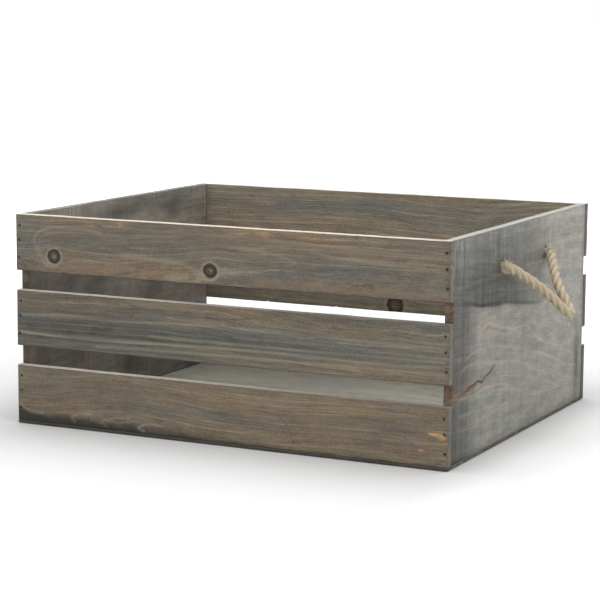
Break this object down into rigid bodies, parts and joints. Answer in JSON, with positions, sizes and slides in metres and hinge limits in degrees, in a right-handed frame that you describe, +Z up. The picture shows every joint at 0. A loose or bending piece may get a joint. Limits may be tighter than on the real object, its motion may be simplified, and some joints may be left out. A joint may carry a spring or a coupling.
{
  "type": "slatted apple crate",
  "caption": "Open slatted wooden crate with solid end panels, a thin floor sheet, nailed slats and a swinging knotted rope handle on each end.",
  "frame": {"origin": "middle of the underside, on the surface that the crate stands on", "axes": "+X along the length towards the right end panel, +Y to the back, +Z up"},
  "size_m": [0.555, 0.381, 0.2075],
  "materials": {
    "slat_wood": "weathered grey-brown softwood slats, rough sawn, unpainted",
    "panel_wood": "silver-grey weathered softwood end panels with a dark check",
    "sheet_wood": "thin grey plywood floor",
    "rope_fibre": "three-strand natural fibre rope, pale tan, hairy",
    "brad_steel": "dark tarnished steel brads set below the surface"
  },
  "bodies": {
    "crate": {"end_panel_left": "panel_wood", "end_panel_right": "panel_wood", "slat_front_bottom": "slat_wood", "slat_front_middle": "slat_wood", "slat_front_top": "slat_wood", "slat_back_bottom": "slat_wood", "slat_back_middle": "slat_wood", "slat_back_top": "slat_wood", "floor_sheet": "sheet_wood", "brad_front_bottom_left_1": "brad_steel", "brad_front_bottom_left_2": "brad_steel", "brad_front_bottom_left_3": "brad_steel", "brad_front_bottom_right_1": "brad_steel", "brad_front_bottom_right_2": "brad_steel", "brad_front_bottom_right_3": "brad_steel", "brad_front_middle_left_1": "brad_steel", "brad_front_middle_left_2": "brad_steel", "brad_front_middle_left_3": "brad_steel", "brad_front_middle_right_1": "brad_steel", "brad_front_middle_right_2": "brad_steel", "brad_front_middle_right_3": "brad_steel", "brad_front_top_left_1": "brad_steel", "brad_front_top_left_2": "brad_steel", "brad_front_top_left_3": "brad_steel", "brad_front_top_right_1": "brad_steel", "brad_front_top_right_2": "brad_steel", "brad_front_top_right_3": "brad_steel", "brad_back_bottom_left_1": "brad_steel", "brad_back_bottom_left_2": "brad_steel", "brad_back_bottom_left_3": "brad_steel", "brad_back_bottom_right_1": "brad_steel", "brad_back_bottom_right_2": "brad_steel", "brad_back_bottom_right_3": "brad_steel", "brad_back_middle_left_1": "brad_steel", "brad_back_middle_left_2": "brad_steel", "brad_back_middle_left_3": "brad_steel", "brad_back_middle_right_1": "brad_steel", "brad_back_middle_right_2": "brad_steel", "brad_back_middle_right_3": "brad_steel", "brad_back_top_left_1": "brad_steel", "brad_back_top_left_2": "brad_steel", "brad_back_top_left_3": "brad_steel", "brad_back_top_right_1": "brad_steel", "brad_back_top_right_2": "brad_steel", "brad_back_top_right_3": "brad_steel", "brad_sheet_left_1": "brad_steel", "brad_sheet_left_2": "brad_steel", "brad_sheet_left_3": "brad_steel", "brad_sheet_left_4": "brad_steel", "brad_sheet_right_1": "brad_steel", "brad_sheet_right_2": "brad_steel", "brad_sheet_right_3": "brad_steel", "brad_sheet_right_4": "brad_steel", "rope_knot_left_front": "rope_fibre", "rope_knot_left_back": "rope_fibre", "rope_knot_right_front": "rope_fibre", "rope_knot_right_back": "rope_fibre"},
    "handle_right": {"rope_handle_right": "rope_fibre"},
    "handle_left": {"rope_handle_left": "rope_fibre"}
  },
  "joints": [
    {"name": "handle_right_swing", "type": "hinge", "parent": "crate", "child": "handle_right", "pos_m": [0.233, 0, 0.171], "axis": [0, -1, 0], "range_deg": [-40, 140]},
    {"name": "handle_left_swing", "type": "hinge", "parent": "crate", "child": "handle_left", "pos_m": [-0.233, 0, 0.171], "axis": [0, 1, 0], "range_deg": [-40, 140]}
  ]
}
